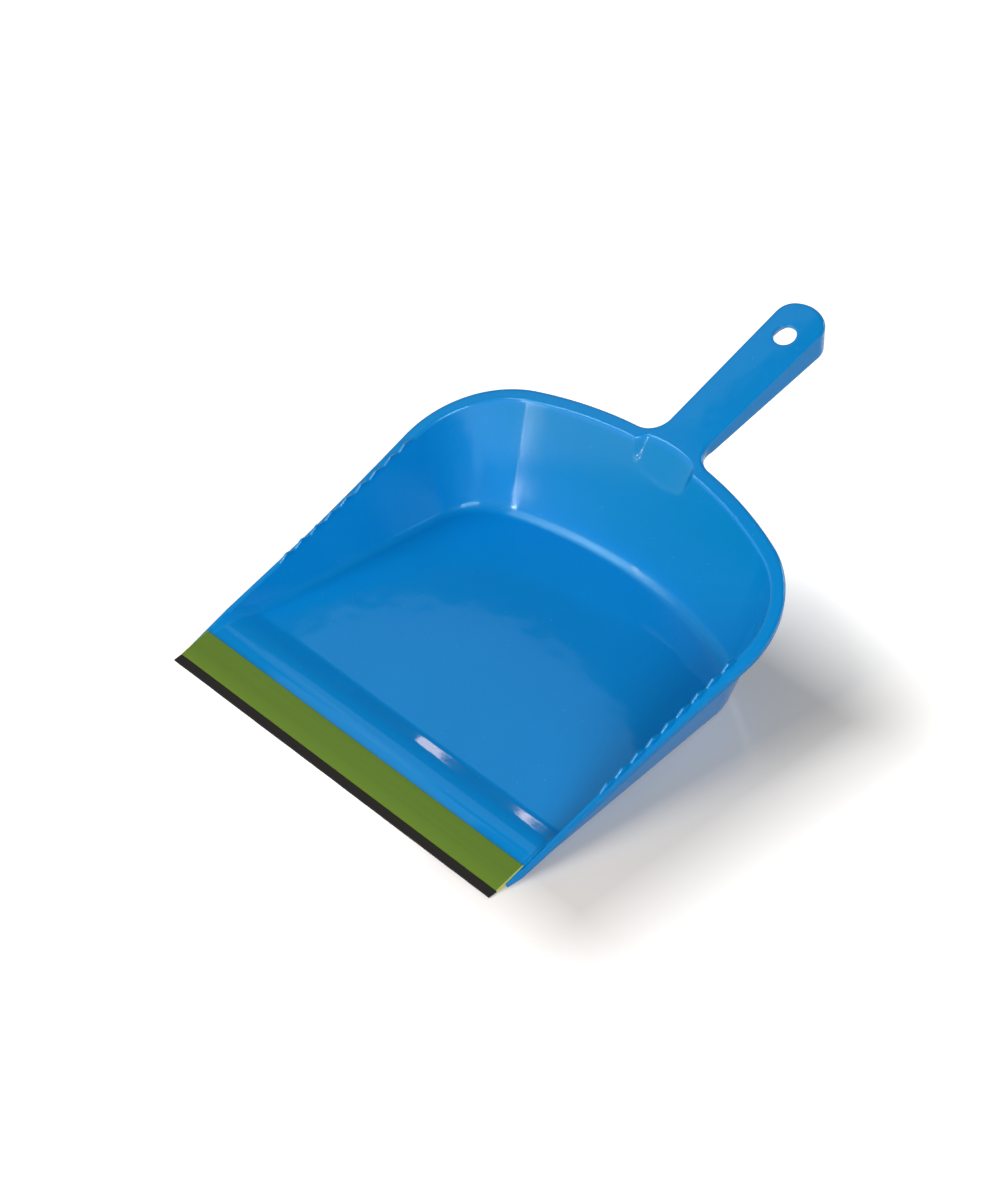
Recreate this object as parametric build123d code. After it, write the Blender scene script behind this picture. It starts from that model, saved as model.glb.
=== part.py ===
"""One-hand dustpan: a moulded pan with a channel handle, a push-on lip carrier and a soft lip.

Millimetres. Sections are drawn with Y counted from the front of the lip towards the handle and Z
up from the floor; the finished pieces are then moved so that the origin is under the middle.
"""
from build123d import *
from math import cos, hypot, radians, sin, sqrt, tan
import os

# Overall
OVERALL_LENGTH = 331.0
REACH = 1.5 * OVERALL_LENGTH

# Front strip: soft lip in a stiff carrier
STRIP_LENGTH = 222.0
STRIP_END_GAP = 0.3
LIP_REACH = 4.5
LIP_ROOT_RADIUS = 0.6
LIP_ROOT_HEIGHT = 0.75
LIP_TIP_THICKNESS = 0.8
LIP_TIP_ROUND = 0.25
SEAT_CLEARANCE = 0.05
UPPER_JAW_DEG = 55.0
LOWER_JAW_DEG = 40.0
CARRIER_DEPTH = 17.3
CARRIER_NOSE_HEIGHT = 1.55
CARRIER_TOP_WALL = 1.15
CARRIER_LEG_WALL = 1.05
CARRIER_LEG_SETBACK = 1.9
CARRIER_ROUND = 0.4

# Front edge of the pan, the tongue that the carrier grips
PAN_FRONT_Y = 11.1
PAN_FRONT_Z = 1.75
TONGUE_EDGE = 1.0
TONGUE_THICKNESS = 1.45
TONGUE_BEVEL = 2.9
TONGUE_CLEARANCE = 0.05
TONGUE_LENGTH = 10.4

# Cheeks beside the strip, drawn in towards the front
CHEEK = 0.8
CHEEK_TAPER_LENGTH = 27.0

# Walls and floor
WALL = 1.8
FLOOR_THICKNESS = 2.2
WALL_DRAFT = 17.2
FRONT_FLARE = 1.7
FLOOR_FRONT_HALF = STRIP_LENGTH / 2 + STRIP_END_GAP + CHEEK + FRONT_FLARE
FLOOR_NARROWING = 19.2
FLOOR_BACK_HALF = FLOOR_FRONT_HALF - FLOOR_NARROWING
FLOOR_BACK_Y = 207.3
FLOOR_BACK_RADIUS = 221.0
FLOOR_CORNER_RADIUS = 36.0
INNER_FILLET = 4.0
OUTER_FILLET = 1.2

# Ramp behind the strip and the fall into the pan
RAMP_START_Y = 20.5
RAMP_SLOPE = 9.0
CREST_Y = 35.5
CREST_RADIUS = 35.0
FOOT_Y = 51.0
FOOT_RADIUS = 10.0

# Rim, one sloping plane that bends up a little into the handle
RIM_SLOPE = 16.83
RIM_FRONT_INSET = 0.4
RIM_FRONT_HALF = FLOOR_FRONT_HALF - RIM_FRONT_INSET
RIM_WAIST_FLARE = 0.7
RIM_WAIST_HALF = RIM_FRONT_HALF + RIM_WAIST_FLARE
RIM_WAIST_Y = 85.0
RIM_BACK_FLARE = 10.9
RIM_BACK_HALF = RIM_FRONT_HALF + RIM_BACK_FLARE
RIM_BACK_OVERHANG = 26.2
RIM_BACK_Y = FLOOR_BACK_Y + RIM_BACK_OVERHANG
RIM_BACK_OPENING = 7.0
RIM_BACK_RADIUS = FLOOR_BACK_RADIUS + RIM_BACK_OPENING
RIM_CORNER_RADIUS = 57.0
RIM_THICKNESS = 1.9
RIM_DEPTH = 4.5
RIM_EDGE = 1.6
RIM_OUTER_ROUND = 1.6
RIM_INNER_ROUND = 1.2

# Handle, an upside-down channel
HANDLE_BEND_SETBACK = 1.9
HANDLE_BEND_Y = RIM_BACK_Y + HANDLE_BEND_SETBACK
HANDLE_BEND_RADIUS = 250.0
HANDLE_SLOPE = 18.95
HANDLE_TAPER = 0.9
HANDLE_END_HALF = 14.6
HANDLE_END_ARC = 1.3 * HANDLE_END_HALF
HANDLE_END_CORNER = 0.7 * HANDLE_END_HALF
HANDLE_FLARE_RADIUS = 12.0
SKIRT_ROOT_SETBACK = 12.5
SKIRT_ROOT_Y = RIM_BACK_Y + SKIRT_ROOT_SETBACK
SKIRT_ROOT_DEPTH = 8.0
SKIRT_END_DEPTH = 15.4
HOLE_RADIUS = 6.0
HOLE_FROM_END = 20.9

# Scoop in the back wall at the handle root
SCOOP_HALF = 21.0
SCOOP_RADIUS = 90.0
SCOOP_CORNER = 8.0
SCOOP_DEPTH = 5.8
SCOOP_DROP = 17.5

# Sawtooth combs on the side rims
TOOTH_COUNT = 9
TOOTH_PITCH = 10.04
TOOTH_RISE = 2.3
TOOTH_PEAK = 4.2
TOOTH_THICKNESS = 1.2
COMB_START_Y = 70.85
COMB_INSET = 2.2
COMB_HALF_SPACING = RIM_WAIST_HALF - COMB_INSET
COMB_ROOT = 1.5


def rim_z(y):
    """Height of the rim plane at a distance y from the lip."""
    return PAN_FRONT_Z + tan(radians(RIM_SLOPE)) * (y - PAN_FRONT_Y)


def handle_z(y):
    """Height of the handle's top plane at a distance y from the lip."""
    return rim_z(HANDLE_BEND_Y) + tan(radians(HANDLE_SLOPE)) * (y - HANDLE_BEND_Y)


def ramp_z(y):
    """Height of the ramp behind the strip at a distance y from the lip."""
    return rim_z(RAMP_START_Y) + tan(radians(RAMP_SLOPE)) * (y - RAMP_START_Y)


def across(section, width):
    """Carry a side section, drawn in Y and Z, across the pan about its middle."""
    return extrude(Plane.YZ * section, width / 2, both=True)


def corner(section, y, z):
    """The corner of a side section that lies at y and z."""
    return section.vertices().sort_by_distance((y, z))[0]


def below_top(drop=0.0):
    """Everything under the rim plane and the handle plane, with a soft bend between them."""
    bend_z = rim_z(HANDLE_BEND_Y) - drop
    section = make_face(Polyline(
        (-REACH, rim_z(-REACH) - drop),
        (HANDLE_BEND_Y, bend_z),
        (REACH, handle_z(REACH) - drop),
        (REACH, -REACH),
        (-REACH, -REACH),
        close=True,
    ))
    return across(fillet(corner(section, HANDLE_BEND_Y, bend_z), HANDLE_BEND_RADIUS), REACH)


def rounded_back(front_half, back_half, back_y, back_radius, corner_radius, waist=None):
    """A plan outline with two long sides and a bowed back that meets them in round corners."""
    right_front = (front_half, 0)
    left_front = (-front_half, 0)
    right_back = (back_half, back_y)
    left_back = (-back_half, back_y)
    if waist:
        right = ThreePointArc(right_front, waist, right_back)
        left = ThreePointArc(left_back, (-waist[0], waist[1]), left_front)
    else:
        right = Line(right_front, right_back)
        left = Line(left_back, left_front)
    sides = make_face([right, Line(right_back, left_back), left, Line(left_front, right_front)])
    outline = sides & Pos(0, back_y - back_radius) * Circle(back_radius)
    return fillet(outline.vertices().group_by(Axis.Y)[-1], corner_radius)


def pan_block(inset=0.0):
    """The pan as a solid tapering block, with its walls moved in by part of a wall thickness."""
    shift = inset / cos(radians(WALL_DRAFT))
    outline = rounded_back(
        FLOOR_FRONT_HALF - shift, FLOOR_BACK_HALF - shift, FLOOR_BACK_Y - shift,
        FLOOR_BACK_RADIUS - shift, FLOOR_CORNER_RADIUS - shift,
    )
    return extrude(outline, rim_z(RIM_BACK_Y) + RIM_DEPTH, taper=-WALL_DRAFT)


def behind_front():
    """Everything behind the front edge of the pan and above the ground."""
    return Pos(0, PAN_FRONT_Y + REACH / 2, REACH / 2) * Box(REACH, REACH, REACH)


def hull():
    """The outside of the pan under the rim, with its bottom edge rounded."""
    block = pan_block()
    bottom = block.edges().group_by(Axis.Z)[0].filter_by(Axis.X, reverse=True)
    return fillet(bottom, OUTER_FILLET) & below_top()


def floor_section():
    """The side section of the space over the ramp, the fall and the floor."""
    crest_z = ramp_z(CREST_Y)
    section = make_face(Polyline(
        (-REACH, ramp_z(-REACH)),
        (CREST_Y, crest_z),
        (FOOT_Y, FLOOR_THICKNESS),
        (REACH, FLOOR_THICKNESS),
        (REACH, REACH),
        (-REACH, REACH),
        close=True,
    ))
    section = fillet(corner(section, CREST_Y, crest_z), CREST_RADIUS)
    return fillet(corner(section, FOOT_Y, FLOOR_THICKNESS), FOOT_RADIUS)


def cavity():
    """The inside of the pan, with a round all along the foot of its walls."""
    space = pan_block(WALL) & across(floor_section(), REACH)
    foot = space.edges().filter_by(lambda e: e.center().Z < ramp_z(CREST_Y))
    return fillet(foot.filter_by(Axis.X, reverse=True), INNER_FILLET)


def scoop(grow=0.0):
    """A leaning bar, bowed at its back and round at its edges, that cuts into the rear wall."""
    wall_lean = tan(radians(WALL_DRAFT))
    inner_foot = FLOOR_BACK_Y - WALL / cos(radians(WALL_DRAFT))
    high = rim_z(RIM_BACK_Y)
    low = high - SCOOP_DROP
    back_high = inner_foot + wall_lean * high + SCOOP_DEPTH
    back_low = inner_foot + wall_lean * low
    lean = Vector(0, back_high - back_low, high - low).normalized()
    start = Vector(0, back_low, low) - Vector(0, lean.Z, -lean.Y) * SCOOP_RADIUS
    radius = SCOOP_RADIUS + grow
    section = Circle(radius) & Rectangle(2 * (SCOOP_HALF + grow), 2 * radius)
    section = fillet(section.vertices().group_by(Axis.Y)[-1], SCOOP_CORNER + grow)
    return extrude(Plane(origin=start, x_dir=(1, 0, 0), z_dir=lean) * section, high, both=True)


def handle_outline(inset):
    """The plan outline of the handle: straight sides that widen and a full end with round corners."""
    lean = tan(radians(HANDLE_TAPER))
    centre_y = OVERALL_LENGTH - HANDLE_END_ARC
    half = HANDLE_END_HALF - inset * hypot(1, lean)
    arc = HANDLE_END_ARC - inset
    rise = (sqrt(arc**2 * (1 + lean**2) - half**2) - half * lean) / (1 + lean**2)
    corner_x = half + rise * lean
    corner_y = centre_y + rise
    root_x = half - (centre_y - FLOOR_BACK_Y) * lean
    outline = make_face([
        Line((root_x, FLOOR_BACK_Y), (corner_x, corner_y)),
        ThreePointArc((corner_x, corner_y), (0, centre_y + arc), (-corner_x, corner_y)),
        Line((-corner_x, corner_y), (-root_x, FLOOR_BACK_Y)),
        Line((-root_x, FLOOR_BACK_Y), (root_x, FLOOR_BACK_Y)),
    ])
    return fillet(outline.vertices().group_by(Axis.Y)[-1], HANDLE_END_CORNER - inset)


def plate_outline(inset=0.0):
    """The plan outline of the rim and the handle in one, with flared roots between them."""
    outline = handle_outline(inset) + rounded_back(
        RIM_FRONT_HALF - inset, RIM_BACK_HALF - inset, RIM_BACK_Y - inset,
        RIM_BACK_RADIUS - inset, RIM_CORNER_RADIUS - inset,
        waist=(RIM_WAIST_HALF - inset, RIM_WAIST_Y),
    )
    roots = outline.vertices().filter_by(
        lambda v: abs(v.X) < HANDLE_END_HALF and abs(v.Y - RIM_BACK_Y) < HANDLE_FLARE_RADIUS
    )
    return fillet(roots, HANDLE_FLARE_RADIUS + inset)


def above_skirt():
    """Everything over the lower edge of the rim's lip and the handle's skirts."""
    return across(make_face(Polyline(
        (-REACH, rim_z(-REACH) - RIM_DEPTH),
        (RIM_BACK_Y, rim_z(RIM_BACK_Y) - RIM_DEPTH),
        (SKIRT_ROOT_Y, handle_z(SKIRT_ROOT_Y) - SKIRT_ROOT_DEPTH),
        (OVERALL_LENGTH, handle_z(OVERALL_LENGTH) - SKIRT_END_DEPTH),
        (OVERALL_LENGTH, REACH),
        (-REACH, REACH),
        close=True,
    )), REACH)


def plate():
    """Rim and handle as one sheet with its edge turned down, round along the top."""
    height = handle_z(OVERALL_LENGTH)
    sheet = extrude(plate_outline(), height) & below_top()
    tops = sheet.faces().filter_by(lambda f: round(f.normal_at().Z, 3) > 0)
    sheet = fillet(tops.edges().filter_by(Axis.X, reverse=True), RIM_OUTER_ROUND)
    hollow = extrude(plate_outline(RIM_EDGE), height) & below_top(RIM_THICKNESS)
    return (sheet & above_skirt()) - hollow


def undercut():
    """The space under the ramp, and the pocket that the carrier's lower leg slides into."""
    pocket_y = PAN_FRONT_Y + TONGUE_LENGTH
    bevel_y = PAN_FRONT_Y + TONGUE_BEVEL
    front = (PAN_FRONT_Y, PAN_FRONT_Z - TONGUE_EDGE)
    bevel = (bevel_y, rim_z(bevel_y) - TONGUE_THICKNESS)
    back = (pocket_y, rim_z(pocket_y) - TONGUE_THICKNESS)
    pocket = make_face(Polyline(front, bevel, back, (pocket_y, 0), (PAN_FRONT_Y, 0), close=True))
    under = make_face(Polyline(
        bevel, back, (CREST_Y, ramp_z(CREST_Y) - FLOOR_THICKNESS), (FOOT_Y, 0), (bevel_y, 0), close=True
    ))
    between_walls = pan_block(WALL) & across(under, REACH)
    return across(pocket, STRIP_LENGTH + 2 * STRIP_END_GAP) + between_walls


def comb():
    """A row of leaning sawteeth that stands on the rim plane."""
    points = [(COMB_START_Y, rim_z(COMB_START_Y) - COMB_ROOT)]
    for i in range(TOOTH_COUNT):
        y = COMB_START_Y + i * TOOTH_PITCH
        points.append((y, rim_z(y)))
        points.append((y + TOOTH_PEAK, rim_z(y + TOOTH_PEAK) + TOOTH_RISE))
    end_y = COMB_START_Y + TOOTH_COUNT * TOOTH_PITCH
    points.append((end_y, rim_z(end_y)))
    points.append((end_y, rim_z(end_y) - COMB_ROOT))
    return across(make_face(Polyline(*points, close=True)), TOOTH_THICKNESS)


def hanging_hole():
    """A bore square to the handle's top near its end."""
    y = OVERALL_LENGTH - HOLE_FROM_END
    square = Plane(origin=(0, y, handle_z(y)), x_dir=(1, 0, 0), z_dir=(
        0, -sin(radians(HANDLE_SLOPE)), cos(radians(HANDLE_SLOPE))
    ))
    return square * Cylinder(HOLE_RADIUS, SKIRT_END_DEPTH)


def front_zone():
    """The zone in front of the ramp, where the rim plane runs on across the whole front edge."""
    return Pos(0, RAMP_START_Y - REACH / 2, 0) * Box(REACH, REACH, REACH)


def nips():
    """The outside of the front corners, where the pan is drawn in to a thin cheek on each side."""
    cheek = STRIP_LENGTH / 2 + STRIP_END_GAP + CHEEK
    end_y = PAN_FRONT_Y + CHEEK_TAPER_LENGTH
    wedge = make_face(Polyline(
        (cheek, PAN_FRONT_Y), (RIM_FRONT_HALF, end_y), (REACH, end_y), (REACH, 0), (cheek, 0), close=True
    ))
    return extrude(wedge + mirror(wedge, Plane.YZ), rim_z(end_y))


def pan_moulding():
    """The blue moulding: pan, rim, handle, combs and hanging hole in one piece."""
    solid = plate() + hull() + (scoop(WALL) & below_top())
    space = pan_block(WALL) + scoop()
    walls = solid - space
    inner_rim = new_edges(solid, space, combined=walls).filter_by(lambda e: e.center().Z > PAN_FRONT_Z)
    walls = fillet(inner_rim, RIM_INNER_ROUND)
    bottom = (pan_block(WALL) & below_top()) - cavity()
    body = (walls + bottom + (solid & front_zone())) & behind_front()
    body = body - undercut() - nips() - hanging_hole()
    for side in (-1, 1):
        body += Pos(side * COMB_HALF_SPACING, 0, 0) * comb()
    return body


def lip_carrier():
    """The stiff strip: a slot that grips the pan's front edge and a round seat for the lip."""
    seat = LIP_ROOT_RADIUS + SEAT_CLEARANCE
    upper = radians(UPPER_JAW_DEG)
    lower = radians(LOWER_JAW_DEG)
    upper_jaw = (LIP_REACH + seat * cos(upper), LIP_ROOT_HEIGHT + seat * sin(upper))
    lower_jaw = (LIP_REACH + seat * cos(lower), LIP_ROOT_HEIGHT - seat * sin(lower))
    nose = (upper_jaw[0], CARRIER_NOSE_HEIGHT)
    rear_y = upper_jaw[0] + CARRIER_DEPTH
    rear = (rear_y, rim_z(rear_y) + CARRIER_TOP_WALL)
    slot_front = PAN_FRONT_Y - TONGUE_CLEARANCE
    bevel_y = PAN_FRONT_Y + TONGUE_BEVEL
    leg_y = rear_y - CARRIER_LEG_SETBACK
    leg_top = rim_z(leg_y) - TONGUE_THICKNESS - TONGUE_CLEARANCE
    heel_z = rim_z(bevel_y) - TONGUE_THICKNESS - TONGUE_CLEARANCE
    section = make_face(Polyline(
        nose,
        rear,
        (rear_y, rim_z(rear_y) + TONGUE_CLEARANCE),
        (slot_front, rim_z(slot_front) + TONGUE_CLEARANCE),
        (slot_front, PAN_FRONT_Z - TONGUE_EDGE - TONGUE_CLEARANCE),
        (bevel_y, heel_z),
        (leg_y, leg_top),
        (leg_y, leg_top - CARRIER_LEG_WALL),
        (bevel_y, 0),
        (lower_jaw[0], 0),
        lower_jaw,
        upper_jaw,
        close=True,
    ))
    section = fillet(corner(section, *rear), CARRIER_ROUND)
    section -= Pos(LIP_REACH, LIP_ROOT_HEIGHT) * Circle(seat)
    return across(section, STRIP_LENGTH)


def rubber_lip():
    """The soft lip: a round root and a blade that thins towards its front."""
    root = Pos(LIP_REACH, LIP_ROOT_HEIGHT) * Circle(LIP_ROOT_RADIUS)
    tip_low = Pos(LIP_TIP_ROUND, LIP_TIP_ROUND) * Circle(LIP_TIP_ROUND)
    tip_high = Pos(LIP_TIP_ROUND, LIP_TIP_THICKNESS - LIP_TIP_ROUND) * Circle(LIP_TIP_ROUND)
    return across(make_hull(root.edges() + tip_low.edges() + tip_high.edges()), STRIP_LENGTH)


pieces = {"pan_moulding": pan_moulding(), "lip_carrier": lip_carrier(), "rubber_lip": rubber_lip()}
os.makedirs("parts", exist_ok=True)
for name, piece in pieces.items():
    export_step(Pos(0, -OVERALL_LENGTH / 2, 0) * piece, f"parts/{name}.step")
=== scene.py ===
"""Looks of a one-hand dustpan: glossy blue moulding, green lip carrier and black rubber lip.

Metres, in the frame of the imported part: +Y from the lip to the handle's end, +Z up, origin on the
ground under the middle of the part. A pair of numbers is a range, from its first end to its second,
but the pair of a noise is its scale and detail, and the pair of a wave its rate and start.
"""
from math import cos, radians, sin

import bpy
import numpy as np
from mathutils import Matrix, Vector


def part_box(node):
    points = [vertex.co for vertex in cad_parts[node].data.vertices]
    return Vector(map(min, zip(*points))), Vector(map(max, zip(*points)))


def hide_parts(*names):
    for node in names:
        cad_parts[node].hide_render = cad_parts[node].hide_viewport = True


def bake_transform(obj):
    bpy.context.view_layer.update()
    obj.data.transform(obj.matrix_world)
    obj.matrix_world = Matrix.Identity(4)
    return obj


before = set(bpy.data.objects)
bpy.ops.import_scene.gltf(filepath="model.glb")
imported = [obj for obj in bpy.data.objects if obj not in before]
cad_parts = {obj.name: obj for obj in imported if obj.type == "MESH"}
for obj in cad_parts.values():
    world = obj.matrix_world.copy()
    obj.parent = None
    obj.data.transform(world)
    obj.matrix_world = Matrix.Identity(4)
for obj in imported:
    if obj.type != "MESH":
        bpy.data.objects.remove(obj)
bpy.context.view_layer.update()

# View of the photograph, whose image is 1000 wide and 1200 high
IMAGE_HEIGHT = 1200
FOCAL_PIXELS = 4240
SENSOR = 36.0
CAMERA_AZIMUTH = 46.14
CAMERA_ELEVATION = 42.21
CAMERA_TARGET = (-0.00882, -0.04310, 0.03000)
CAMERA_DISTANCE = 2.05764

# Blue plastic: linear colours
PAN_BLUE = (0.0004, 0.210, 0.570, 1.0)
PAN_BLUE_DEEP = (0.0004, 0.202, 0.555, 1.0)
# Painted shade: a darker blue for the back wall under the rim
BACK_WALL_PAINTED_SHADE = (0.0004, 0.190, 0.462, 1.0)
DUST_BLUE = (0.10, 0.36, 0.68, 1.0)
GLOSS_TINT = (0.48, 0.87, 1.0, 1.0)

# Blue plastic: its three noises, and what they and the zones change
CLOUDS = (22.0, 3.0)
RIPPLE = (60.0, 1.0)
GRAIN = (600.0, 2.0)
NOISE_SPAN = (0.3, 0.7)
SPECK_SPAN = (0.70, 0.78)
SPECK_STRENGTH = (0.0, 0.3)
GLOSS_ROUGHNESS = (0.035, 0.055)
WALL_ROUGHNESS = 0.075
GLOSS_LEVEL = (0.5, 0.1)
BACK_DULLNESS = 0.6
PLASTIC_IOR = 1.49
HAZE_WEIGHT = 0.2
HAZE_ROUGHNESS = 0.4
RIPPLE_STRENGTH = 0.06
RIPPLE_DEPTH = 0.001
GRAIN_STRENGTH = (0.06, 0.6)
GRAIN_DEPTH = 0.00006

# Blue plastic: where its zones begin and end
RAMP_BACK_Y = (-0.115, -0.100)
HANDLE_ROOT_Y = (0.070, 0.085)
WALL_Z = (0.006, 0.014)
FOOT_Y = (-0.010, 0.020)
FOOT_Z = (0.012, 0.020)
SCOOP_X = (0.028, 0.040)
SCOOP_Y = (0.030, 0.040)
SCOOP_BOTTOM_Z = (0.030, 0.040)
SCOOP_TOP_Z = (0.058, 0.062)
BACK_WALL_Y = (0.030, 0.050)
STEEP_NORMAL_Z = (0.35, 0.6)
OUTWARD_REACH = (0.002, 0.008)

# The rim's plane: its height over the origin, its rise towards the handle and the stretch just under it
RIM_HEIGHT = 0.04845
RIM_SLOPE = 0.3025
UNDER_RIM = (RIM_HEIGHT - 0.003, RIM_HEIGHT - 0.001)

# Radii by which the moulding's edges look broken, at its foot and round the scoop softer than elsewhere
EDGE_ROUND = 0.0015
FOOT_ROUND = 0.006
SCOOP_ROUND = 0.006
ROUND_SAMPLES = 8

# Green strip: linear colours, noise for draw lines along X, and depths of the painted highlight along its
# front edge and of its sawn ends
STRIP_GREEN = (0.069, 0.145, 0.003, 1.0)
STRIP_GREEN_LIGHT = (0.078, 0.159, 0.004, 1.0)
# Painted highlight: a paler green along the strip's front edge
STRIP_PAINTED_HIGHLIGHT = (0.086, 0.172, 0.004, 1.0)
STRIP_CUT_END = (0.46, 0.50, 0.14, 1.0)
STRIP_LINES = (1.0, 3.0)
STRIP_LINE_STRETCH = (6.0, 900.0, 900.0)
STRIP_LINE_STRENGTH = 0.12
STRIP_LINE_DEPTH = 0.0002
STRIP_HIGHLIGHT_DEPTH = (0.0015, 0.0070)
STRIP_END_DEPTH = (0.00015, 0.00005)
STRIP_ROUGHNESS = (0.38, 0.5)
STRIP_IOR = 1.5

# Black rubber: linear colours, noise for its grain, and dull gloss
LIP_BLACK = (0.007, 0.007, 0.007, 1.0)
LIP_GREY = (0.011, 0.011, 0.0105, 1.0)
RUBBER_GRAIN = (1500.0, 3.0)
RUBBER_GRAIN_STRENGTH = 0.2
RUBBER_GRAIN_DEPTH = 0.0001
RUBBER_ROUGHNESS = (0.55, 0.7)
RUBBER_GLOSS_LEVEL = 0.3

# Rubber lip: a round root in the carrier's seat and a blade that thins towards its front
LIP_REACH = 0.0045
LIP_ROOT_RADIUS = 0.0006
LIP_ROOT_HEIGHT = 0.00075
LIP_TIP_ROUND = 0.00025
LIP_TIP_THICKNESS = 0.0008
LIP_COLUMNS = 72
LIP_ROWS = 297
BAND_DIRECTIONS = 1440

# Wear of the lip's front edge: its depth, and waves with rates in radians per metre
LIP_WEAR = 0.00012
SLOW_WAVE = (61.0, 0.7)
MIDDLE_WAVE = (147.0, 1.9)
QUICK_WAVE = (430.0, 0.0)
QUICK_SHARE = 0.5

# Floor, with its glow to the eye round a box beside the pan where the glow is left off, a painted shadow,
# and backdrop
WHITE = (1.0, 1.0, 1.0, 1.0)
FLOOR_WHITE = (0.6, 0.6, 0.6, 1.0)
FLOOR_ROUGHNESS = 0.12
FLOOR_HALF = 6.0
FLOOR_DROP = 0.0002
SHADE_CENTRE = (0.115, -0.05, 0.0)
SHADE_HALF = (0.03, 0.09, 0.0)
SHADE_EDGE = (0.0, 0.07)
SHADE_GLOW = (0.02, 0.75)
FAR_EDGE = (0.5, 3.0)
FAR_GLOW = (0.0, 0.25)
BACKDROP_RADIUS = 5.5
BACKDROP_HEIGHT = 1.2
BACKDROP_STEPS = 128

# Surround, dim overhead and behind and bright along its front direction
SURROUND_COLOUR = (1.0, 0.97, 0.82, 1.0)
SURROUND_FRONT = (-0.15, -0.85, -0.5)
SURROUND_SPAN = (-0.25, 0.45)
SURROUND_STRENGTH = (0.04, 0.56)

# Lamps
LAMP_TARGET = (0.0, 0.0, 0.03)
WHITE_LAMP = (1.0, 1.0, 1.0)
WARM_LAMP = (1.0, 0.72, 0.6)
GLINT_LAMP = (1.0, 0.65, 0.55)

# Ends of a mask, and the places of a mix node's colour sockets
WHOLE = (0.0, 1.0)
TURNED = (1.0, 0.0)
MIX_FACTOR, MIX_FIRST, MIX_SECOND = 0, 6, 7
MIX_COLOUR = 2


def new_material(name):
    """An empty node material with its shader and output."""
    material = bpy.data.materials.new(name)
    material.use_nodes = True
    tree = material.node_tree
    tree.nodes.clear()
    shader = tree.nodes.new("ShaderNodeBsdfPrincipled")
    output = tree.nodes.new("ShaderNodeOutputMaterial")
    tree.links.new(shader.outputs["BSDF"], output.inputs["Surface"])
    return material, tree, shader


def fill(tree, node, inputs):
    """Give a node's inputs plain values or other nodes' sockets."""
    for name, value in inputs.items():
        if isinstance(value, bpy.types.NodeSocket):
            tree.links.new(value, node.inputs[name])
        else:
            node.inputs[name].default_value = value


def add(tree, kind, inputs=None, **settings):
    """A node with its settings and inputs."""
    node = tree.nodes.new(kind)
    for name, value in settings.items():
        setattr(node, name, value)
    fill(tree, node, inputs or {})
    return node


def object_coordinates(tree, scale=(1.0, 1.0, 1.0)):
    """Object coordinates, stretched by a scale along each axis."""
    coordinates = add(tree, "ShaderNodeTexCoord")
    mapping = add(tree, "ShaderNodeMapping", {"Vector": coordinates.outputs["Object"], "Scale": scale})
    return mapping.outputs["Vector"]


def along_axes(tree, vector):
    """The parts of a vector along X, Y and Z."""
    return add(tree, "ShaderNodeSeparateXYZ", {"Vector": vector}).outputs


def noise(tree, place, scale, detail):
    """A soft noise between 0 and 1."""
    inputs = {"Vector": place, "Scale": scale, "Detail": detail}
    return add(tree, "ShaderNodeTexNoise", inputs).outputs["Fac"]


def bump(tree, height, strength, depth, under=None):
    """A normal that follows small heights, laid over another normal if there is one."""
    inputs = {"Height": height, "Strength": strength, "Distance": depth}
    if under is not None:
        inputs["Normal"] = under
    return add(tree, "ShaderNodeBump", inputs).outputs["Normal"]


def mix_colour(tree, factor, first, second):
    """A colour between two colours or sockets."""
    inputs = {MIX_FACTOR: factor, MIX_FIRST: first, MIX_SECOND: second}
    return add(tree, "ShaderNodeMix", inputs, data_type="RGBA").outputs[MIX_COLOUR]


def calculate(tree, operation, first, second=0.0):
    """One step of arithmetic on values or sockets."""
    return add(tree, "ShaderNodeMath", {0: first, 1: second}, operation=operation).outputs["Value"]


def calculate_vector(tree, operation, first, second=(0.0, 0.0, 0.0)):
    """One step of arithmetic on vectors, which gives a vector."""
    inputs = {0: first, 1: second}
    return add(tree, "ShaderNodeVectorMath", inputs, operation=operation).outputs["Vector"]


def dot(tree, first, second):
    """How far one vector reaches along another."""
    inputs = {0: first, 1: second}
    return add(tree, "ShaderNodeVectorMath", inputs, operation="DOT_PRODUCT").outputs["Value"]


def remap(tree, value, span, target):
    """A value's range moved to another range, clamped."""
    node = add(tree, "ShaderNodeMapRange", {
        "Value": value, "From Min": span[0], "From Max": span[1], "To Min": target[0], "To Max": target[1],
    })
    return node.outputs["Result"]


def rising(tree, value, span):
    """A mask that goes from 0 to 1 as a value goes through a range."""
    return remap(tree, value, span, WHOLE)


def falling(tree, value, span):
    """A mask that goes from 1 to 0 as a value goes through a range."""
    return remap(tree, value, span, TURNED)


def overlap(tree, mask, *others):
    """The mask where all of some masks hold: their product."""
    for other in others:
        mask = calculate(tree, "MULTIPLY", mask, other)
    return mask


def inner_zones(tree, place):
    """Masks of the moulding's walls, of the foot of its rear walls, of its scoop and of its back wall."""
    axes = along_axes(tree, place)
    before_handle = falling(tree, axes["Y"], HANDLE_ROOT_Y)
    wall = overlap(
        tree, rising(tree, axes["Z"], WALL_Z), rising(tree, axes["Y"], RAMP_BACK_Y), before_handle,
    )
    foot = overlap(tree, falling(tree, axes["Z"], FOOT_Z), rising(tree, axes["Y"], FOOT_Y))
    scoop = overlap(
        tree, falling(tree, calculate(tree, "ABSOLUTE", axes["X"]), SCOOP_X),
        rising(tree, axes["Y"], SCOOP_Y), rising(tree, axes["Z"], SCOOP_BOTTOM_Z),
        falling(tree, axes["Z"], SCOOP_TOP_Z), before_handle,
    )
    over_slope = dot(tree, place, (0.0, -RIM_SLOPE, 1.0))
    back = overlap(
        tree, rising(tree, axes["Y"], BACK_WALL_Y), wall, falling(tree, over_slope, UNDER_RIM),
    )
    return wall, foot, scoop, back


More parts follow.
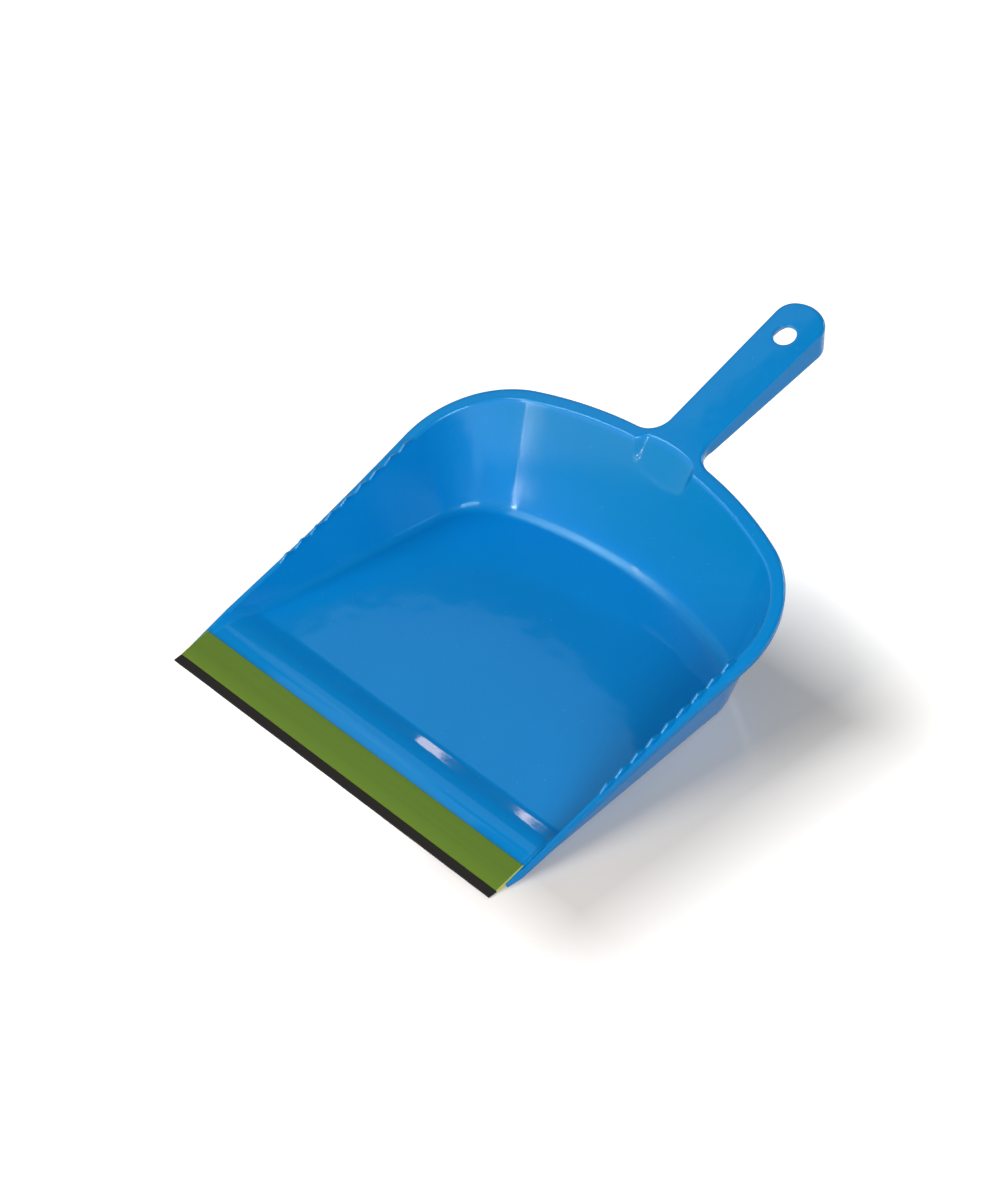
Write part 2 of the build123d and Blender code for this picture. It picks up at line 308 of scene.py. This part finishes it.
def outer_zone(tree):
    """Mask of the moulding's steep faces that look away from its middle."""
    normal = add(tree, "ShaderNodeNewGeometry").outputs["Normal"]
    upright = calculate(tree, "ABSOLUTE", dot(tree, normal, (0.0, 0.0, 1.0)))
    outward = dot(tree, normal, object_coordinates(tree, (1.0, 1.0, 0.0)))
    return overlap(tree, falling(tree, upright, STEEP_NORMAL_Z), rising(tree, outward, OUTWARD_REACH))


def softened_edges(tree, foot, scoop):
    """The moulding's normal with its edges broken by a radius, larger at its foot and round the scoop."""
    radius = EDGE_ROUND
    for mask, zone_radius in ((foot, FOOT_ROUND), (scoop, SCOOP_ROUND)):
        radius = calculate(tree, "MAXIMUM", radius, calculate(tree, "MULTIPLY", mask, zone_radius))
    return add(tree, "ShaderNodeBevel", {"Radius": radius}, samples=ROUND_SAMPLES).outputs["Normal"]


def blue_plastic():
    """Glossy moulded plastic: faint clouds, dust specks, a painted shade of darker blue on the back wall,
    a slight ripple and grained walls.

    The outside and the back wall are duller than the rest, and the scoop's grain is as faint as the
    floor's.
    """
    material, tree, shader = new_material("blue_plastic")
    place = object_coordinates(tree)
    clouds = noise(tree, place, *CLOUDS)
    ripple = noise(tree, place, *RIPPLE)
    grain = noise(tree, place, *GRAIN)
    wall, foot, scoop, back = inner_zones(tree, place)
    polished = mix_colour(tree, rising(tree, clouds, NOISE_SPAN), PAN_BLUE, PAN_BLUE_DEEP)
    # Painted shade: the back wall under the rim takes a darker blue than the rest of the moulding
    tone_with_painted_shade = mix_colour(tree, back, polished, BACK_WALL_PAINTED_SHADE)
    specks = remap(tree, grain, SPECK_SPAN, SPECK_STRENGTH)
    smooth = remap(tree, clouds, NOISE_SPAN, GLOSS_ROUGHNESS)
    rough = calculate(tree, "MULTIPLY", wall, WALL_ROUGHNESS)
    dull_back = calculate(tree, "MULTIPLY", back, BACK_DULLNESS)
    dull = calculate(tree, "MAXIMUM", outer_zone(tree), dull_back)
    rippled = bump(tree, ripple, RIPPLE_STRENGTH, RIPPLE_DEPTH, softened_edges(tree, foot, scoop))
    grained = calculate(tree, "SUBTRACT", wall, scoop)
    grain_strength = remap(tree, grained, WHOLE, GRAIN_STRENGTH)
    fill(tree, shader, {
        "Base Color": mix_colour(tree, specks, tone_with_painted_shade, DUST_BLUE),
        "Roughness": calculate(tree, "ADD", smooth, rough),
        "Specular IOR Level": remap(tree, dull, WHOLE, GLOSS_LEVEL),
        "IOR": PLASTIC_IOR,
        "Specular Tint": GLOSS_TINT,
        "Coat Weight": HAZE_WEIGHT,
        "Coat Roughness": HAZE_ROUGHNESS,
        "Normal": bump(tree, grain, grain_strength, GRAIN_DEPTH, rippled),
    })
    return material


def green_strip():
    """Matt extruded plastic: draw lines along the strip, a painted highlight of paler green along the
    front edge and pale sawn ends.
    """
    material, tree, shader = new_material("green_strip")
    low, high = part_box("lip_carrier")
    lines = noise(tree, object_coordinates(tree, STRIP_LINE_STRETCH), *STRIP_LINES)
    axes = along_axes(tree, object_coordinates(tree))
    # Painted highlight: paler green in a band along the strip's front edge
    front_highlight = falling(tree, axes["Y"], [low.y + depth for depth in STRIP_HIGHLIGHT_DEPTH])
    aside = calculate(tree, "ABSOLUTE", axes["X"])
    cut_end = rising(tree, aside, [high.x - depth for depth in STRIP_END_DEPTH])
    body = mix_colour(tree, rising(tree, lines, NOISE_SPAN), STRIP_GREEN, STRIP_GREEN_LIGHT)
    body = mix_colour(tree, front_highlight, body, STRIP_PAINTED_HIGHLIGHT)
    fill(tree, shader, {
        "Base Color": mix_colour(tree, cut_end, body, STRIP_CUT_END),
        "Roughness": remap(tree, lines, NOISE_SPAN, STRIP_ROUGHNESS),
        "IOR": STRIP_IOR,
        "Normal": bump(tree, lines, STRIP_LINE_STRENGTH, STRIP_LINE_DEPTH),
    })
    return material


def black_rubber():
    """Matt soft rubber with a fine grain."""
    material, tree, shader = new_material("black_rubber")
    grain = noise(tree, object_coordinates(tree), *RUBBER_GRAIN)
    fill(tree, shader, {
        "Base Color": mix_colour(tree, rising(tree, grain, NOISE_SPAN), LIP_BLACK, LIP_GREY),
        "Roughness": remap(tree, grain, NOISE_SPAN, RUBBER_ROUGHNESS),
        "Specular IOR Level": RUBBER_GLOSS_LEVEL,
        "Normal": bump(tree, grain, RUBBER_GRAIN_STRENGTH, RUBBER_GRAIN_DEPTH),
    })
    return material


def dress(node, material):
    """Give a CAD node its finished material."""
    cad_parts[node].data.materials.clear()
    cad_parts[node].data.materials.append(material)


def new_piece(name, points, faces, material):
    """An object at the origin, with a mesh of points and faces in one material."""
    mesh = bpy.data.meshes.new(name)
    mesh.from_pydata(points.tolist(), [], faces)
    mesh.materials.append(material)
    piece = bpy.data.objects.new(name, mesh)
    bpy.context.scene.collection.objects.link(piece)
    return piece


def stretched_band(centres, radii, count):
    """The closed line of a band stretched round some circles, in even steps.

    For each direction the furthest circle is found, and its furthest point is on the line.
    """
    turn = np.linspace(0.0, 2.0 * np.pi, BAND_DIRECTIONS, endpoint=False)
    ray = np.stack([np.cos(turn), np.sin(turn)], axis=1)
    furthest = (ray @ centres.T + radii).argmax(axis=1)
    points = centres[furthest] + radii[furthest, None] * ray
    closed = np.vstack([points, points[:1]])
    steps = np.linalg.norm(np.diff(closed, axis=0), axis=1)
    along = np.concatenate([[0.0], np.cumsum(steps)])
    even = np.linspace(0.0, along[-1], count, endpoint=False)
    return np.stack([np.interp(even, along, closed[:, k]) for k in (0, 1)], axis=1)


def wave(x, rate, start):
    """A sine wave along X."""
    return np.sin(rate * x + start)


def rubber_blade(material):
    """The soft lip: a profile of Y and Z carried along X, whose front edge is worn in slow waves.

    The profile is the band round the root circle and the two small circles of the tip. A point moves
    back by the wear at its place along the strip, times the square of how far in front of the root it
    lies, so the root stays round in its seat.
    """
    low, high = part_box("rubber_lip")
    root_y = low.y + LIP_REACH
    tip_y = low.y + LIP_TIP_ROUND
    tip_top = LIP_TIP_THICKNESS - LIP_TIP_ROUND
    centres = np.array([(root_y, LIP_ROOT_HEIGHT), (tip_y, LIP_TIP_ROUND), (tip_y, tip_top)])
    radii = np.array([LIP_ROOT_RADIUS, LIP_TIP_ROUND, LIP_TIP_ROUND])
    profile = stretched_band(centres, radii, LIP_COLUMNS)
    x = np.linspace(low.x, high.x, LIP_ROWS)
    waves = wave(x, *SLOW_WAVE) * wave(x, *MIDDLE_WAVE) + QUICK_SHARE * wave(x, *QUICK_WAVE)
    wear = LIP_WEAR * (waves - waves.min()) / (waves.max() - waves.min())
    in_front = np.clip((root_y - profile[:, 0]) / LIP_REACH, 0.0, 1.0) ** 2
    points = np.empty((LIP_ROWS, LIP_COLUMNS, 3))
    points[:, :, 0] = x[:, None]
    points[:, :, 1] = profile[None, :, 0] + wear[:, None] * in_front[None, :]
    points[:, :, 2] = profile[None, :, 1]
    row = np.arange(LIP_ROWS - 1)[:, None] * LIP_COLUMNS
    column = np.arange(LIP_COLUMNS)[None, :]
    here, beside = row + column, row + (column + 1) % LIP_COLUMNS
    quads = np.stack([here, beside, beside + LIP_COLUMNS, here + LIP_COLUMNS], axis=2).reshape(-1, 4)
    first_end = np.arange(LIP_COLUMNS)[::-1]
    last_end = np.arange(LIP_COLUMNS) + (LIP_ROWS - 1) * LIP_COLUMNS
    ends = [first_end.tolist(), last_end.tolist()]
    piece = new_piece("lip_blade", points.reshape(-1, 3), quads.tolist() + ends, material)
    smooth = np.ones(len(piece.data.polygons), dtype=bool)
    smooth[-len(ends):] = False
    piece.data.polygons.foreach_set("use_smooth", smooth)
    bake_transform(piece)
    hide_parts("rubber_lip")
    return piece


def seen_ray(tree):
    """1 for a ray from the camera, a reflection or a clear body, and 0 for a ray of light."""
    rays = add(tree, "ShaderNodeLightPath")
    seen = calculate(tree, "MAXIMUM", rays.outputs["Is Camera Ray"], rays.outputs["Is Glossy Ray"])
    return calculate(tree, "MAXIMUM", seen, rays.outputs["Is Transmission Ray"])


def white_floor():
    """A pale floor that keeps the part's shadow from the lamps and glows to the eye.

    The glow grows with the distance from a box on the ground beside the pan: the length of how far a
    point lies outside the box along each axis. In and near the box the grey ground is a painted
    shadow as well as the lamps' shadow, and the pan's outer wall reflects it.
    """
    material, tree, shader = new_material("floor_white")
    from_centre = calculate_vector(tree, "SUBTRACT", object_coordinates(tree), SHADE_CENTRE)
    aside = calculate_vector(tree, "ABSOLUTE", from_centre)
    past_box = calculate_vector(tree, "SUBTRACT", aside, SHADE_HALF)
    away = calculate_vector(tree, "MAXIMUM", past_box)
    distance = add(tree, "ShaderNodeVectorMath", {0: away}, operation="LENGTH").outputs["Value"]
    # Painted shadow: little glow in and near the box beside the pan, so the ground there stays grey
    near = remap(tree, distance, SHADE_EDGE, SHADE_GLOW)
    far = remap(tree, distance, FAR_EDGE, FAR_GLOW)
    glow = calculate(tree, "ADD", near, far)
    fill(tree, shader, {
        "Base Color": FLOOR_WHITE,
        "Roughness": FLOOR_ROUGHNESS,
        "Emission Color": WHITE,
        "Emission Strength": calculate(tree, "MULTIPLY", seen_ray(tree), glow),
    })
    return material


def floor():
    """A large plain square just under the part."""
    corners = FLOOR_HALF * np.array([(-1, -1), (1, -1), (1, 1), (-1, 1)])
    points = np.column_stack([corners, np.full(len(corners), -FLOOR_DROP)])
    piece = new_piece("floor", points, [(0, 1, 2, 3)], white_floor())


def white_backdrop():
    """White to the eye, and clear to light."""
    material, tree, shader = new_material("backdrop_white")
    tree.nodes.remove(shader)
    clear = add(tree, "ShaderNodeBsdfTransparent").outputs["BSDF"]
    white = add(tree, "ShaderNodeEmission", {"Color": WHITE, "Strength": 1.0}).outputs["Emission"]
    shown = add(tree, "ShaderNodeMixShader", {0: seen_ray(tree), 1: clear, 2: white}).outputs["Shader"]
    fill(tree, tree.nodes["Material Output"], {"Surface": shown})
    return material


def backdrop():
    """A low wall far round the floor: height against the angle of a circle."""
    angle = np.linspace(0.0, 2.0 * np.pi, BACKDROP_STEPS, endpoint=False)
    ring = np.stack([np.cos(angle), np.sin(angle)], axis=1) * BACKDROP_RADIUS
    low = np.column_stack([ring, np.full(BACKDROP_STEPS, -FLOOR_DROP)])
    high = np.column_stack([ring, np.full(BACKDROP_STEPS, BACKDROP_HEIGHT)])
    here = np.arange(BACKDROP_STEPS)
    beside = (here + 1) % BACKDROP_STEPS
    quads = np.stack([beside, here, here + BACKDROP_STEPS, beside + BACKDROP_STEPS], axis=1)
    piece = new_piece("backdrop", np.vstack([low, high]), quads.tolist(), white_backdrop())


def surround():
    """A plain surround, brightest low down in front and dim overhead and behind."""
    world = bpy.data.worlds.new("surround")
    world.use_nodes = True
    tree = world.node_tree
    facing = dot(tree, add(tree, "ShaderNodeTexCoord").outputs["Generated"], SURROUND_FRONT)
    fill(tree, tree.nodes["Background"], {
        "Color": SURROUND_COLOUR,
        "Strength": remap(tree, facing, SURROUND_SPAN, SURROUND_STRENGTH),
    })
    bpy.context.scene.world = world


def towards(azimuth, elevation):
    """The direction from the part to a place round it, with azimuth 0 in front of the lip."""
    a, e = radians(azimuth), radians(elevation)
    return Vector((sin(a) * cos(e), -cos(a) * cos(e), sin(e)))


def area_light(name, azimuth, elevation, distance, size, power, shape="RECTANGLE", colour=WHITE_LAMP):
    """A flat lamp that looks at the pan's middle from a direction round it."""
    away = towards(azimuth, elevation)
    lamp = bpy.data.lights.new(name, "AREA")
    lamp.shape = shape
    lamp.size, lamp.size_y = size
    lamp.energy = power
    lamp.color = colour
    piece = bpy.data.objects.new(name, lamp)
    piece.location = Vector(LAMP_TARGET) + away * distance
    piece.rotation_euler = away.to_track_quat("Z", "Y").to_euler()
    bpy.context.scene.collection.objects.link(piece)


def camera():
    """The photograph's camera: level, at its measured direction, distance and focal length."""
    back = towards(CAMERA_AZIMUTH, CAMERA_ELEVATION)
    right = Vector((cos(radians(CAMERA_AZIMUTH)), sin(radians(CAMERA_AZIMUTH)), 0.0))
    up = back.cross(right)
    lens = bpy.data.cameras.new("view")
    lens.sensor_width = SENSOR
    lens.lens = SENSOR * FOCAL_PIXELS / IMAGE_HEIGHT
    piece = bpy.data.objects.new("view", lens)
    place = Vector(CAMERA_TARGET) + back * CAMERA_DISTANCE
    axes = Matrix((right, up, back)).transposed().to_4x4()
    piece.matrix_world = Matrix.Translation(place) @ axes
    bpy.context.scene.collection.objects.link(piece)
    bpy.context.scene.camera = piece


dress("pan_moulding", blue_plastic())
dress("lip_carrier", green_strip())
rubber_blade(black_rubber())

floor()
backdrop()
surround()

# Lamps: azimuth and elevation in degrees, distance, width and height in metres, power in watts
area_light("key", 61, 30, 1.8, (0.8, 0.8), 22)
area_light("side_key", 320, 50, 1.8, (0.8, 0.8), 14.5)
area_light("back_fill", 170, 28, 1.8, (0.6, 0.6), 7)
area_light("spark", 319, 35, 1.8, (0.07, 0.07), 1.8, colour=GLINT_LAMP)
area_light("pan_panel", 232.4, 48.7, 1.5, (0.40, 0.40), 0.19, shape="DISK")
area_light("hump_panel", 245.0, 47.5, 1.51, (0.11, 0.35), 0.058)
area_light("handle_panel", 255.3, 55.1, 1.5, (0.355, 0.198), 0.14)
area_light("front_strip", 356.2, 11.5, 1.3, (0.035, 0.52), 5.4, colour=WARM_LAMP)
area_light("back_spot_left", 216.3, 18.9, 1.085, (0.024, 0.06), 0.036, colour=GLINT_LAMP)
area_light("back_spot_right", 211.4, 19.9, 1.05, (0.011, 0.06), 0.022, colour=GLINT_LAMP)
camera()
bpy.context.scene.view_settings.view_transform = "Standard"
